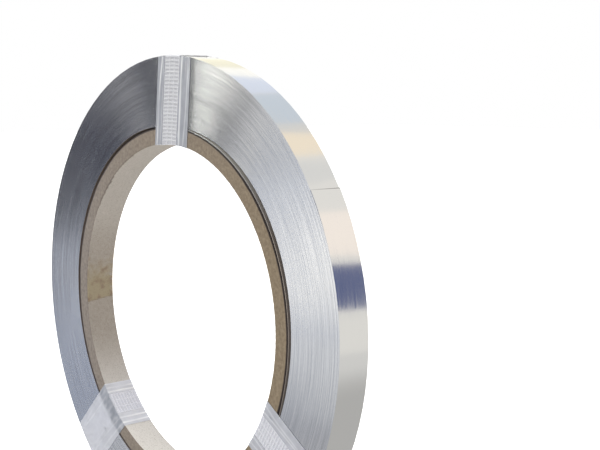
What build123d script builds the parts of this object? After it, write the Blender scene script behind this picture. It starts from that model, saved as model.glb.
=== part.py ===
from build123d import *
import os
from math import cos, radians, sin

# A coil of narrow stainless steel strip, wound on a paper core and tied by
# three bindings of clear tape. It stands on its rim: X is to the right, Y is
# the coil's axis with the front face towards -Y, Z is up, and the origin is
# on the floor under the coil. Clock angles start at the top and run clockwise
# as seen from the front. All sizes are in millimetres.

# Strip and winding
strip_width = 30.0
strip_thickness = 0.5
turn_count = 115
turns_in_a_group = 5
turn_stagger = 0.14
groove_depth = 0.3
groove_width = 0.3
outer_end_angle = 58.0
outer_end_fade = 48.0

# Paper core
core_bore = 300.0
core_wall = 15.0
core_length = 30.0
core_edge_chamfer = 0.8
core_slack = 3.4
core_seat_gap = 0.3
core_rest_angle = 210.0

# Inner turns: they sag towards the core at the top, and the first crosses the gap on the right
loose_turn_count = 3
sag_gap = 0.3
sag_end_angle = 70.0
sag_end_step = 5.0
loose_start_angle = 8.0
loose_middle_angle = 70.0
loose_end_angle = 128.0
loose_middle_gap = 1.2
inner_turn_root = 0.25
inner_turn_setback = 0.2

# Bindings: a ribbed band under a wider clear film, each closed round the section
binding_angles = {"top": 2.0, "right": 122.0, "left": 223.0}
binding_skews = {"top": 3.4, "right": 0.0, "left": 2.2}
band_width = 23.0
band_thickness = 0.25
band_gap = 0.12
film_width = 50.0
film_thickness = 0.2
film_gap = 0.08

# Worked out from the sizes above
core_bore_radius = core_bore / 2
core_radius = core_bore_radius + core_wall
winding_bore_radius = core_radius + core_slack
winding_radius = winding_bore_radius + turn_count * strip_thickness
turn_group_count = turn_count // turns_in_a_group
group_depth = (winding_radius - winding_bore_radius) / turn_group_count
half_width = strip_width / 2
section_reach = max(half_width + turn_stagger, core_length / 2)
core_offset = core_slack - core_seat_gap


def at_clock(radius, angle):
    # A point of the front view, measured from the winding's centre
    return (radius * sin(radians(angle)), radius * cos(radians(angle)))


core_centre = at_clock(core_offset, core_rest_angle)


def reach(circle, angle):
    # How far a circle is from the winding's centre at a clock angle
    (x, z), radius = circle
    right, up = at_clock(1, angle)
    return x * right + z * up + (radius**2 - (x * up - z * right) ** 2) ** 0.5


def circle_through(first, second, third):
    # Centre and radius of the circle through three points
    (ax, az), (bx, bz), (cx, cz) = first, second, third
    double_area = 2 * (ax * (bz - cz) + bx * (cz - az) + cx * (az - bz))
    a_square = ax**2 + az**2
    b_square = bx**2 + bz**2
    c_square = cx**2 + cz**2
    x = (a_square * (bz - cz) + b_square * (cz - az) + c_square * (az - bz)) / double_area
    z = (a_square * (cx - bx) + b_square * (ax - cx) + c_square * (bx - ax)) / double_area
    return (x, z), ((ax - x) ** 2 + (az - z) ** 2) ** 0.5


def disc(radius, depth, centre=(0, 0)):
    # A cylinder along the coil's axis, centred on the strip's width
    place = Pos(centre[0], 0, winding_radius + centre[1]) * Rot(90, 0, 0)
    return place * Cylinder(radius, depth)


def turned_profile():
    # Half section of the winding: both ends show the groups of turns as low steps
    front = []
    for group in range(turn_group_count):
        start = winding_bore_radius + group * group_depth
        stagger = turn_stagger * sin(2.4 * group) * cos(0.7 * group + 1)
        front.append((start, half_width - groove_depth))
        front.append((start + groove_width, half_width + stagger))
        front.append((start + group_depth - groove_width, half_width + stagger))
    front.append((winding_radius, half_width - groove_depth))
    back = [(radius, -height) for radius, height in reversed(front)]
    return make_face(Plane.XZ * Polyline(*front, *back, close=True))


def sag_circle(end_angle, end_reach, top_reach):
    # An arch over the bore, the same on its left and right
    return circle_through(
        at_clock(end_reach, -end_angle),
        at_clock(top_reach, 0),
        at_clock(end_reach, end_angle),
    )


def crossing_circle():
    # The outside of the innermost turn, which leaves the core and joins the bore again
    core = (core_centre, core_radius)
    start = reach(core, loose_start_angle) + sag_gap + strip_thickness
    middle = reach(core, loose_middle_angle) + loose_middle_gap + strip_thickness
    return circle_through(
        at_clock(start, loose_start_angle),
        at_clock(middle, loose_middle_angle),
        at_clock(winding_bore_radius + inner_turn_root, loose_end_angle),
    )


def outer_end_circle():
    # The turn under the outer end of the strip, which the end stands proud of
    half_fade = outer_end_angle - outer_end_fade / 2
    return circle_through(
        at_clock(winding_radius, outer_end_angle - outer_end_fade),
        at_clock(winding_radius - strip_thickness / 2, half_fade),
        at_clock(winding_radius - strip_thickness, outer_end_angle),
    )


def sector(start_angle, end_angle, reach):
    # A wedge from the winding's centre between two clock angles
    corners = [(0, 0), at_clock(reach, start_angle)]
    corners += [at_clock(reach, (start_angle + end_angle) / 2), at_clock(reach, end_angle)]
    face = make_face(Polyline(*[Vector(x, 0, z) for x, z in corners], close=True))
    wedge = extrude(face, strip_width, dir=(0, 1, 0), both=True)
    return Pos(0, 0, winding_radius) * wedge


def make_turn(circle):
    # One loose turn of strip, round the given circle
    centre, radius = circle
    inner_width = strip_width - 2 * inner_turn_setback
    turn = disc(radius, inner_width, centre)
    return turn - disc(radius - strip_thickness, 2 * strip_width, centre)


def make_winding():
    turned = revolve(turned_profile(), Axis.Z)
    winding = Pos(0, 0, winding_radius) * Rot(90, 0, 0) * turned
    root_reach = winding_bore_radius + inner_turn_root
    root_disc = disc(root_reach, 2 * strip_width)
    winding += make_turn(crossing_circle()) & root_disc
    first_reach = reach((core_centre, core_radius), 0) + sag_gap + strip_thickness
    loose_pitch = (winding_bore_radius + strip_thickness - first_reach) / loose_turn_count
    for turn in range(1, loose_turn_count):
        end_angle = sag_end_angle - turn * sag_end_step
        arch = sag_circle(end_angle, root_reach, first_reach + turn * loose_pitch)
        winding += make_turn(arch) & root_disc
    centre, radius = outer_end_circle()
    shaving = disc(2 * winding_radius, 2 * strip_width) - disc(radius, 3 * strip_width, centre)
    shaving &= sector(outer_end_angle - outer_end_fade, outer_end_angle, 1.5 * winding_radius)
    return winding - shaving


def make_core():
    core = disc(core_radius, core_length, core_centre)
    core -= disc(core_bore_radius, 2 * core_length, core_centre)
    return chamfer(core.edges(), core_edge_chamfer)


def make_loop(clock, skew, width, gap, thickness):
    # A closed loop of the given thickness, standing off the section by the gap
    def envelope(distance):
        outside = disc(winding_radius + distance, 2 * (section_reach + distance))
        bore = disc(core_bore_radius - distance, 4 * section_reach, core_centre)
        return outside - bore

    middle_radius = (core_bore_radius + winding_radius) / 2
    x, z = at_clock(middle_radius, clock)
    slab_length = 2 * (winding_radius - core_bore_radius)
    place = Pos(x, 0, winding_radius + z) * Rot(0, clock + skew, 0)
    slab = place * Box(width, 2 * strip_width, slab_length)
    return (envelope(gap + thickness) & slab) - envelope(gap)


def build():
    parts = {"strip_winding": make_winding(), "paper_core": make_core()}
    film_clearance = band_gap + band_thickness + film_gap
    for side, clock in binding_angles.items():
        skew = binding_skews[side]
        parts[f"binding_band_{side}"] = make_loop(
            clock, skew, band_width, band_gap, band_thickness
        )
        parts[f"tape_film_{side}"] = make_loop(
            clock, skew, film_width, film_clearance, film_thickness
        )
    return parts


os.makedirs("parts", exist_ok=True)
for name, shape in build().items():
    export_step(shape, f"parts/{name}.step")
    print(name, round(shape.volume / 1000, 2), "cm3")
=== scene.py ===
from math import cos, exp, pi, radians, sin, sqrt

import bmesh
import bpy
from mathutils import Euler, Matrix, Quaternion, Vector, noise


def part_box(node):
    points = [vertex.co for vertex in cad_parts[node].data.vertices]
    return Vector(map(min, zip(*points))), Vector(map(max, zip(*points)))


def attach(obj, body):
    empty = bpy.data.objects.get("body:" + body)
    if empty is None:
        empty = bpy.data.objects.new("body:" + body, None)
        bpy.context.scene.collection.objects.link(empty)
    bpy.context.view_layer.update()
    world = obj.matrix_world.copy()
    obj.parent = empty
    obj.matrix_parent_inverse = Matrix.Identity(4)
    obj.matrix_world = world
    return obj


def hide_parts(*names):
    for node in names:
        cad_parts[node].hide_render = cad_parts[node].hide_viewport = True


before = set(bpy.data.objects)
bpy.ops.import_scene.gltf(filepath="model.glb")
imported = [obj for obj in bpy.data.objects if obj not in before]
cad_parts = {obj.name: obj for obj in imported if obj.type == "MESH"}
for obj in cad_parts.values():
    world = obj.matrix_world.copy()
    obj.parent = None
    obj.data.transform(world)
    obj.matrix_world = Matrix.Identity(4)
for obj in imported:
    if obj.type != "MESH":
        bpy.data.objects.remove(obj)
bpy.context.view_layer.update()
windingLow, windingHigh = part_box("strip_winding")
coreLow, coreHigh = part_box("paper_core")
scene = bpy.context.scene
scene.view_settings.view_transform = "Standard"
mm = 0.001

# Places that every piece shares, in mm. Clock angles start at the top and run clockwise from the front
centreHeight = (windingLow.z + windingHigh.z) / 2 / mm
outerRadius = (windingHigh.x - windingLow.x) / 2 / mm
coreCentre = ((coreLow.x + coreHigh.x) / 2 / mm, (coreLow.z + coreHigh.z) / 2 / mm)
coreOuterRadius = (coreHigh.x - coreLow.x) / 2 / mm
coreBoreRadius = 150.0
halfLength = 15.0


def paint(code):
    # sRGB hex to the linear colour that a socket holds
    parts = [int(code[i : i + 2], 16) / 255 for i in (1, 3, 5)]
    linear = [p / 12.92 if p <= 0.04045 else ((p + 0.055) / 1.055) ** 2.4 for p in parts]
    return (*linear, 1.0)


def addNode(tree, kind, settings=None, sockets=None):
    node = tree.nodes.new(kind)
    for name, value in (settings or {}).items():
        setattr(node, name, value)
    for name, value in (sockets or {}).items():
        if isinstance(value, bpy.types.NodeSocket):
            tree.links.new(value, node.inputs[name])
        else:
            node.inputs[name].default_value = value
    return node


def newMaterial(name, settings):
    material = bpy.data.materials.new(name)
    material.use_nodes = True
    shader = material.node_tree.nodes["Principled BSDF"]
    for label, value in settings.items():
        shader.inputs[label].default_value = value
    return material, material.node_tree, shader


def newTree(name, inputs):
    tree = bpy.data.node_groups.new(name, "GeometryNodeTree")
    tree.interface.new_socket("Geometry", in_out="INPUT", socket_type="NodeSocketGeometry")
    tree.interface.new_socket("Geometry", in_out="OUTPUT", socket_type="NodeSocketGeometry")
    for label, kind in inputs.items():
        tree.interface.new_socket(label, in_out="INPUT", socket_type="NodeSocket" + kind)
    return tree, tree.nodes.new("NodeGroupInput").outputs, tree.nodes.new("NodeGroupOutput")


def grow(name, mesh, tree, values):
    # Runs a tree on a mesh and keeps what it makes as a plain mesh
    piece = bpy.data.objects.new(name, mesh)
    scene.collection.objects.link(piece)
    modifier = piece.modifiers.new(name, "NODES")
    modifier.node_group = tree
    for socket in tree.interface.items_tree:
        if socket.in_out == "INPUT" and socket.name in values:
            modifier[socket.identifier] = values[socket.name]
    graph = bpy.context.evaluated_depsgraph_get()
    grown = bpy.data.meshes.new_from_object(
        piece.evaluated_get(graph), preserve_all_data_layers=True, depsgraph=graph
    )
    piece.modifiers.remove(modifier)
    piece.data = grown
    grown.name = name
    return piece


def sheetMesh(name, rows, closed, attributes=None):
    # A grid of points in mm, closed round its rows, with one value a point for each attribute
    count, width = len(rows), len(rows[0])
    faces = []
    for i in range(count if closed else count - 1):
        for j in range(width - 1):
            a, b = i * width + j, (i + 1) % count * width + j
            faces.append((a, a + 1, b + 1, b))
    mesh = bpy.data.meshes.new(name)
    mesh.from_pydata([Vector(p) * mm for row in rows for p in row], [], faces)
    for label, values in (attributes or {}).items():
        layer = mesh.attributes.new(label, "FLOAT", "POINT")
        layer.data.foreach_set("value", [v for row in values for v in row])
    mesh.shade_smooth()
    return mesh


# The camera, at the place that the photograph's perspective gives
view = {"place": (835.6, -571.2, 413.3), "heading": 49.7, "tilt": -6.424, "lens": 67.2}
cameraData = bpy.data.cameras.new("camera")
cameraData.lens = view["lens"]
cameraData.sensor_width = 36
cameraObject = bpy.data.objects.new("camera", cameraData)
cameraObject.location = Vector(view["place"]) * mm
cameraObject.rotation_euler = (radians(90 + view["tilt"]), 0, radians(view["heading"]))
scene.collection.objects.link(cameraObject)
scene.camera = cameraObject
print("camera placed")


# Bright rolled stainless steel: a hard mirror drawn out along the strip by the mill's rolls
rolledSteel, tree, shader = newMaterial(
    "bright rolled stainless steel",
    {"Base Color": paint("#cfcecb"), "Metallic": 1.0, "Roughness": 0.14},
)
place = addNode(tree, "ShaderNodeTexCoord").outputs["Object"]
middle = addNode(tree, "ShaderNodeVectorMath", {"operation": "SUBTRACT"},
                 {0: place, 1: (0, 0, centreHeight * mm)}).outputs[0]
axes = addNode(tree, "ShaderNodeSeparateXYZ", None, {0: middle}).outputs
angle = addNode(tree, "ShaderNodeMath", {"operation": "ARCTAN2"}, {0: axes["X"], 1: axes["Z"]})
across = addNode(tree, "ShaderNodeMath", {"operation": "MULTIPLY"}, {0: axes["Y"], 1: 1 / (0.9 * mm)})
# Roll marks about 0.9 mm apart across the strip and 60 mm long, coarser than the real ones so that they show
lengthwise = addNode(tree, "ShaderNodeMath", {"operation": "MULTIPLY"},
                     {0: angle.outputs[0], 1: outerRadius / 60})
marks = addNode(tree, "ShaderNodeCombineXYZ", None, {"X": lengthwise.outputs[0], "Y": across.outputs[0]})
rolls = addNode(tree, "ShaderNodeTexNoise", None, {"Vector": marks.outputs[0], "Scale": 1.0, "Detail": 3.0})
gloss = addNode(tree, "ShaderNodeMapRange", None,
                {"Value": rolls.outputs[0], "From Min": 0.3, "From Max": 0.7, "To Min": 0.08, "To Max": 0.17})
bump = addNode(tree, "ShaderNodeBump", None,
               {"Strength": 0.25, "Distance": 0.02 * mm, "Height": rolls.outputs[0]})
# The innermost turn is dulled by dust rubbed off the paper core. Its colour is dust with painted light
# and shade of the gap: painted pale at its upper right, darker brown elsewhere
dustAndShade = addNode(tree, "ShaderNodeAttribute", {"attribute_name": "dustAndShade"}).outputs["Fac"]
dulled = addNode(tree, "ShaderNodeMath", {"operation": "MULTIPLY_ADD", "use_clamp": True},
                 {0: dustAndShade, 1: 0.4, 2: gloss.outputs[0]})
metal = addNode(tree, "ShaderNodeMapRange", None, {"Value": dustAndShade, "To Min": 1.0, "To Max": 0.15})
paintedPaleRight = addNode(tree, "ShaderNodeMapRange", None, {
    "Value": angle.outputs[0], "From Min": radians(22), "From Max": radians(62),
    "To Min": 1.0, "To Max": 0.12})
onRight = addNode(tree, "ShaderNodeMath", {"operation": "GREATER_THAN"}, {0: angle.outputs[0], 1: 0.0})
paintedPaleness = addNode(tree, "ShaderNodeMath", {"operation": "MULTIPLY"},
                   {0: paintedPaleRight.outputs[0], 1: onRight.outputs[0]})
dustWithPaintedLight = addNode(tree, "ShaderNodeMix", {"data_type": "RGBA"},
               {0: paintedPaleness.outputs[0], 6: paint("#7d6f66"), 7: paint("#f2efe9")})
tint = addNode(tree, "ShaderNodeMix", {"data_type": "RGBA"},
               {0: dustAndShade, 6: paint("#cfcecb"), 7: dustWithPaintedLight.outputs[2]})
# The last 0.9 mm before the cut outer end is painted dark as the shadow at the lifted end, heavier towards
# the back
cutEnd = addNode(tree, "ShaderNodeAttribute", {"attribute_name": "cutEnd"}).outputs["Fac"]
darkerToBack = addNode(tree, "ShaderNodeMapRange", None, {
    "Value": axes["Y"], "From Min": -halfLength * mm, "From Max": halfLength * mm,
    "To Min": 0.2, "To Max": 0.75})
endShade = addNode(tree, "ShaderNodeMapRange", None,
               {"Value": cutEnd, "From Min": 0.94, "From Max": 0.97, "To Max": darkerToBack.outputs[0]})
endShaded = addNode(tree, "ShaderNodeMix", {"data_type": "RGBA"},
                 {0: endShade.outputs[0], 6: tint.outputs[2], 7: paint("#5d5b58")})
tree.links.new(endShaded.outputs[2], shader.inputs["Base Color"])
tree.links.new(metal.outputs[0], shader.inputs["Metallic"])
tree.links.new(dulled.outputs[0], shader.inputs["Roughness"])
tree.links.new(bump.outputs[0], shader.inputs["Normal"])


# Slit edges of the strip: fine cut metal, so the light is drawn out across the turns into wedges
slitEdges, tree, shader = newMaterial(
    "slit edges of stainless steel strip",
    {"Base Color": paint("#cfcfd1"), "Metallic": 1.0, "Roughness": 0.25, "Anisotropic": 1.0},
)
place = addNode(tree, "ShaderNodeTexCoord").outputs["Object"]
middle = addNode(tree, "ShaderNodeVectorMath", {"operation": "SUBTRACT"},
                 {0: place, 1: (0, 0, centreHeight * mm)}).outputs[0]
flat = addNode(tree, "ShaderNodeVectorMath", {"operation": "MULTIPLY"}, {0: middle, 1: (1, 0, 1)})
radial = addNode(tree, "ShaderNodeVectorMath", {"operation": "NORMALIZE"}, {0: flat.outputs[0]})
tree.links.new(radial.outputs[0], shader.inputs["Tangent"])
radius = addNode(tree, "ShaderNodeVectorMath", {"operation": "LENGTH"}, {0: flat.outputs[0]})
axes = addNode(tree, "ShaderNodeSeparateXYZ", None, {0: middle}).outputs
angle = addNode(tree, "ShaderNodeMath", {"operation": "ARCTAN2"}, {0: axes["X"], 1: axes["Z"]})
# Streaks 1.4 mm apart and 90 mm long: a few turns wide, because a single 0.5 mm turn is too fine to show
step = addNode(tree, "ShaderNodeMath", {"operation": "MULTIPLY"},
               {0: radius.outputs["Value"], 1: 1 / (1.4 * mm)})
lengthwise = addNode(tree, "ShaderNodeMath", {"operation": "MULTIPLY"}, {0: angle.outputs[0], 1: 200 / 90})
streak = addNode(tree, "ShaderNodeCombineXYZ", None, {"X": step.outputs[0], "Y": lengthwise.outputs[0]})
streaks = addNode(tree, "ShaderNodeTexNoise", None,
                  {"Vector": streak.outputs[0], "Scale": 1.0, "Detail": 4.0, "Roughness": 0.7})
tone = addNode(tree, "ShaderNodeAttribute", {"attribute_name": "turnTone"})
blend = addNode(tree, "ShaderNodeMath", {"operation": "MULTIPLY_ADD"},
                {0: tone.outputs["Fac"], 1: 0.5, 2: streaks.outputs[0]})
shade = addNode(tree, "ShaderNodeMapRange", None,
                {"Value": blend.outputs[0], "From Min": 0.6, "From Max": 0.9})
colour = addNode(tree, "ShaderNodeMix", {"data_type": "RGBA"},
                 {0: shade.outputs[0], 6: paint("#bcbec4"), 7: paint("#d2d3d7")})
# A painted shadow of the top film darkens a stripe along the film's right edge
fromFilm = addNode(tree, "ShaderNodeVectorMath", {"operation": "DOT_PRODUCT"},
                   {0: middle, 1: (cos(radians(5.4)), 0, -sin(radians(5.4)))})
upright = addNode(tree, "ShaderNodeMath", {"operation": "GREATER_THAN"}, {0: axes["Z"], 1: 0.0})
beside = addNode(tree, "ShaderNodeMath", {"operation": "GREATER_THAN"},
                 {0: fromFilm.outputs["Value"], 1: 12 * mm})
filmShadowFade = addNode(tree, "ShaderNodeMapRange", None, {
    "Value": fromFilm.outputs["Value"], "From Min": 18.0 * mm, "From Max": 23.0 * mm,
    "To Min": upright.outputs[0], "To Max": 0.0})
filmShadowMask = addNode(tree, "ShaderNodeMath", {"operation": "MULTIPLY"},
                  {0: filmShadowFade.outputs[0], 1: beside.outputs[0]})
filmShadow = addNode(tree, "ShaderNodeMix", {"data_type": "RGBA", "blend_type": "MULTIPLY"},
                {0: filmShadowMask.outputs[0], 6: colour.outputs[2], 7: paint("#cacacc")})
# At the upper left, where the face lies in shade, the turns lie in groups about 4 mm wide, some of them
# darker with painted shade
groupStep = addNode(tree, "ShaderNodeMath", {"operation": "MULTIPLY"},
                    {0: radius.outputs["Value"], 1: 1 / (4 * mm)})
groupPlace = addNode(tree, "ShaderNodeCombineXYZ", None,
                     {"X": groupStep.outputs[0], "Y": lengthwise.outputs[0]})
groups = addNode(tree, "ShaderNodeTexNoise", None,
                 {"Vector": groupPlace.outputs[0], "Scale": 1.0, "Detail": 3.0, "Roughness": 0.6})
toUpperLeft = addNode(tree, "ShaderNodeVectorMath", {"operation": "DOT_PRODUCT"},
                      {0: middle, 1: (-cos(radians(35)), 0, sin(radians(35)))})
upperLeftShade = addNode(tree, "ShaderNodeMapRange", {"interpolation_type": "SMOOTHSTEP"}, {
    "Value": toUpperLeft.outputs["Value"], "From Min": 120 * mm, "From Max": 170 * mm, "To Max": 0.6})
grouped = addNode(tree, "ShaderNodeMapRange", None, {
    "Value": groups.outputs[0], "From Min": 0.3, "From Max": 0.7, "To Max": upperLeftShade.outputs[0]})
darker = addNode(tree, "ShaderNodeMix", {"data_type": "RGBA"},
                 {0: grouped.outputs[0], 6: filmShadow.outputs[2], 7: paint("#a0a1a6")})
# The innermost turn's edge carries dust with painted shade of the gap too, below its upper right
dustAndShade = addNode(tree, "ShaderNodeAttribute", {"attribute_name": "dustAndShade"}).outputs["Fac"]
lowRight = addNode(tree, "ShaderNodeMapRange", None, {
    "Value": angle.outputs[0], "From Min": radians(22), "From Max": radians(62), "To Max": dustAndShade})
edged = addNode(tree, "ShaderNodeMix", {"data_type": "RGBA"},
                {0: lowRight.outputs[0], 6: darker.outputs[2], 7: paint("#a89e95")})
tree.links.new(edged.outputs[2], shader.inputs["Base Color"])
rough = addNode(tree, "ShaderNodeMapRange", None, {
    "Value": blend.outputs[0], "From Min": 0.45, "From Max": 1.05, "To Min": 0.27, "To Max": 0.23})
tree.links.new(rough.outputs[0], shader.inputs["Roughness"])


# The strip, wound as one spiral from its inner end under the right binding to its outer end on the rim
strip = {
    "turns": 114.1875,
    "pointsPerTurn": 96,
    "boreRadius": 168.4,
    "thickness": 0.485,
    "pitch": 0.5,
    "width": 29.96,
    "edgeBevel": 0.02,
    "startClock": 125.8,
    "wander": 0.025,
    "coreSlack": 3.1,
    "coreRestClock": 210.0,
    "looseTurns": 60.0,
    "gapStart": -5.0,
    "gapEnd": 57.0,
    "freeTurnStart": 104.0,
    "freeTurnEnd": 130.0,
    "freeTurnLift": 0.3,
    "leftGap": 2.0,
    "endLift": 0.4,
    "seed": 4.0,
}

tree, given, result = newTree("wound strip", {
    "Turns": "Float", "Points per turn": "Int", "Inner radius": "Float", "Outer radius": "Float",
    "Thickness": "Float", "Width": "Float", "Edge bevel": "Float", "Start clock": "Float",
    "Wander": "Float", "Core slack": "Float", "Core rest clock": "Float", "Loose turns": "Float",
    "Gap start": "Float", "Gap end": "Float", "Free turn start": "Float", "Free turn end": "Float",
    "Free turn lift": "Float", "Left gap": "Float", "End lift": "Float",
    "Seed": "Float", "Centre height": "Float", "Face steel": "Material", "Edge steel": "Material",
})
spiral = addNode(tree, "GeometryNodeCurveSpiral", None, {
    "Resolution": given["Points per turn"], "Rotations": given["Turns"], "Height": 0.0,
    "Start Radius": given["Inner radius"], "End Radius": given["Outer radius"], "Reverse": True})
index = addNode(tree, "GeometryNodeInputIndex").outputs[0]
turn = addNode(tree, "ShaderNodeMath", {"operation": "DIVIDE"},
               {0: index, 1: given["Points per turn"]}).outputs[0]
run = addNode(tree, "ShaderNodeMath", {"operation": "MULTIPLY_ADD"},
              {0: turn, 1: -360.0, 2: given["Start clock"]})
clock = addNode(tree, "ShaderNodeMath", {"operation": "WRAP"},
                {0: run.outputs[0], 1: 180.0, 2: -180.0}).outputs[0]
# How far the core hangs away from the round bore at this clock angle
fromRest = addNode(tree, "ShaderNodeMath", {"operation": "SUBTRACT"}, {0: clock, 1: given["Core rest clock"]})
restAngle = addNode(tree, "ShaderNodeMath", {"operation": "RADIANS"}, {0: fromRest.outputs[0]})
lean = addNode(tree, "ShaderNodeMath", {"operation": "COSINE"}, {0: restAngle.outputs[0]})
away = addNode(tree, "ShaderNodeMath", {"operation": "SUBTRACT"}, {0: 1.0, 1: lean.outputs[0]})
hollow = addNode(tree, "ShaderNodeMath", {"operation": "MULTIPLY"},
                 {0: away.outputs[0], 1: given["Core slack"]})
leftSlot = addNode(tree, "ShaderNodeMapRange", {"interpolation_type": "SMOOTHSTEP"}, {
    "Value": clock, "From Min": -25.0, "From Max": 2.0, "To Min": given["Left gap"], "To Max": 0.0})
narrowed = addNode(tree, "ShaderNodeMath", {"operation": "SUBTRACT"},
                   {0: hollow.outputs[0], 1: leftSlot.outputs[0]})
crescent = addNode(tree, "ShaderNodeMath", {"operation": "MAXIMUM"}, {0: narrowed.outputs[0], 1: 0.0})
# The inner turns hang down on the core at the top, and on the right only the free inner end does
leftFade = addNode(tree, "ShaderNodeMapRange", {"interpolation_type": "SMOOTHSTEP"},
                   {"Value": clock, "From Min": -150.0, "From Max": -90.0})
isFree = addNode(tree, "ShaderNodeMath", {"operation": "LESS_THAN"}, {0: turn, 1: 0.36})
fadeStart = addNode(tree, "GeometryNodeSwitch", {"input_type": "FLOAT"},
                    {0: isFree.outputs[0], 1: given["Gap start"], 2: given["Free turn start"]})
fadeEnd = addNode(tree, "GeometryNodeSwitch", {"input_type": "FLOAT"},
                  {0: isFree.outputs[0], 1: given["Gap end"], 2: given["Free turn end"]})
rightFade = addNode(tree, "ShaderNodeMapRange", {"interpolation_type": "SMOOTHSTEP"},
                    {"Value": clock, "From Min": fadeStart.outputs[0], "From Max": fadeEnd.outputs[0],
                     "To Min": 1.0, "To Max": 0.0})
freeLift = addNode(tree, "ShaderNodeMath", {"operation": "MULTIPLY"},
                   {0: isFree.outputs[0], 1: given["Free turn lift"]})
offCore = addNode(tree, "ShaderNodeMapRange", {"interpolation_type": "SMOOTHSTEP"}, {
    "Value": clock, "From Min": 10.0, "From Max": 60.0, "To Min": 0.0, "To Max": freeLift.outputs[0]})
held = addNode(tree, "ShaderNodeMath", {"operation": "SUBTRACT", "use_clamp": True},
               {0: rightFade.outputs[0], 1: offCore.outputs[0]})
looseness = addNode(tree, "ShaderNodeMapRange", None, {
    "Value": turn, "From Min": 0.0, "From Max": given["Loose turns"], "To Min": -1.0, "To Max": 0.0})
sides = addNode(tree, "ShaderNodeMath", {"operation": "MULTIPLY"},
                {0: leftFade.outputs[0], 1: held.outputs[0]})
amount = addNode(tree, "ShaderNodeMath", {"operation": "MULTIPLY"},
                 {0: sides.outputs[0], 1: looseness.outputs[0]})
sag = addNode(tree, "ShaderNodeMath", {"operation": "MULTIPLY"},
              {0: amount.outputs[0], 1: crescent.outputs[0]})
# The outer end springs up a little off the turn below
toEnd = addNode(tree, "ShaderNodeMath", {"operation": "SUBTRACT"}, {0: given["Turns"], 1: turn})
sprung = addNode(tree, "ShaderNodeMapRange", None,
                 {"Value": toEnd.outputs[0], "From Min": 0.01, "From Max": 0.04, "To Min": given["End lift"],
                  "To Max": 0.0})
shifted = addNode(tree, "ShaderNodeMath", {"operation": "ADD"}, {0: sag.outputs[0], 1: sprung.outputs[0]})
position = addNode(tree, "GeometryNodeInputPosition").outputs[0]
outward = addNode(tree, "ShaderNodeVectorMath", {"operation": "NORMALIZE"}, {0: position})
inward = addNode(tree, "ShaderNodeVectorMath", {"operation": "SCALE"},
                 {0: outward.outputs[0], "Scale": shifted.outputs[0]})
# Each turn stands a little forward or back of its neighbours
phase = addNode(tree, "ShaderNodeMath", {"operation": "MULTIPLY_ADD"}, {0: turn, 1: 0.83, 2: given["Seed"]})
wobble = addNode(tree, "ShaderNodeTexNoise", {"noise_dimensions": "1D"},
                 {"W": phase.outputs[0], "Scale": 1.0, "Detail": 2.0})
back = addNode(tree, "ShaderNodeMath", {"operation": "MULTIPLY"}, {0: given["Wander"], 1: -1.0})
shift = addNode(tree, "ShaderNodeMapRange", None, {
    "Value": wobble.outputs[0], "From Min": 0.3, "From Max": 0.7,
    "To Min": back.outputs[0], "To Max": given["Wander"]})
sideways = addNode(tree, "ShaderNodeCombineXYZ", None, {"Z": shift.outputs[0]})
move = addNode(tree, "ShaderNodeVectorMath", {"operation": "ADD"},
               {0: inward.outputs[0], 1: sideways.outputs[0]})
path = addNode(tree, "GeometryNodeSetPosition", None,
               {"Geometry": spiral.outputs[0], "Offset": move.outputs[0]})
tonePhase = addNode(tree, "ShaderNodeMath", {"operation": "MULTIPLY_ADD"},
                    {0: turn, 1: 0.61, 2: given["Seed"]})
toneNoise = addNode(tree, "ShaderNodeTexNoise", {"noise_dimensions": "1D"},
                    {"W": tonePhase.outputs[0], "Scale": 1.0, "Detail": 3.0})
toned = addNode(tree, "GeometryNodeStoreNamedAttribute", None,
                {"Geometry": path.outputs[0], "Name": "turnTone", "Value": toneNoise.outputs[0]})
# The innermost turn is marked for its dust and for the painted light and shade of the gap
isInner = addNode(tree, "ShaderNodeMath", {"operation": "LESS_THAN"}, {0: turn, 1: 1.0})
paintedShading = addNode(tree, "GeometryNodeStoreNamedAttribute", None,
                 {"Geometry": toned.outputs[0], "Name": "dustAndShade", "Value": isInner.outputs[0]})
lastPoint = addNode(tree, "ShaderNodeMath", {"operation": "MULTIPLY"},
                    {0: toEnd.outputs[0], 1: given["Points per turn"]})
atEnd = addNode(tree, "ShaderNodeMath", {"operation": "SUBTRACT", "use_clamp": True},
                {0: 1.0, 1: lastPoint.outputs[0]})
ended = addNode(tree, "GeometryNodeStoreNamedAttribute", None,
                {"Geometry": paintedShading.outputs[0], "Name": "cutEnd", "Value": atEnd.outputs[0]})
normals = addNode(tree, "GeometryNodeSetCurveNormal", {"mode": "Z_UP"}, {0: ended.outputs[0]})
section = addNode(tree, "GeometryNodeCurvePrimitiveQuadrilateral", None,
                  {"Width": given["Thickness"], "Height": given["Width"]})
bevelled = addNode(tree, "GeometryNodeFilletCurve", {"mode": "POLY"},
                   {0: section.outputs[0], "Count": 1, "Radius": given["Edge bevel"]})
sweep = addNode(tree, "GeometryNodeCurveToMesh", None,
                {"Curve": normals.outputs[0], "Profile Curve": bevelled.outputs[0], "Fill Caps": True})
bend = addNode(tree, "GeometryNodeInputMeshEdgeAngle")
sharp = addNode(tree, "ShaderNodeMath", {"operation": "GREATER_THAN"}, {0: bend.outputs[0], 1: 0.35})
creased = addNode(tree, "GeometryNodeSetShadeSmooth", {"domain": "EDGE"},
                  {0: sweep.outputs[0], "Selection": sharp.outputs[0], "Shade Smooth": False})
roll = addNode(tree, "ShaderNodeMath", {"operation": "SUBTRACT"}, {0: 90.0, 1: given["Start clock"]})
rollAngle = addNode(tree, "ShaderNodeMath", {"operation": "RADIANS"}, {0: roll.outputs[0]})
rollVector = addNode(tree, "ShaderNodeCombineXYZ", None, {"Z": rollAngle.outputs[0]})
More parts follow.
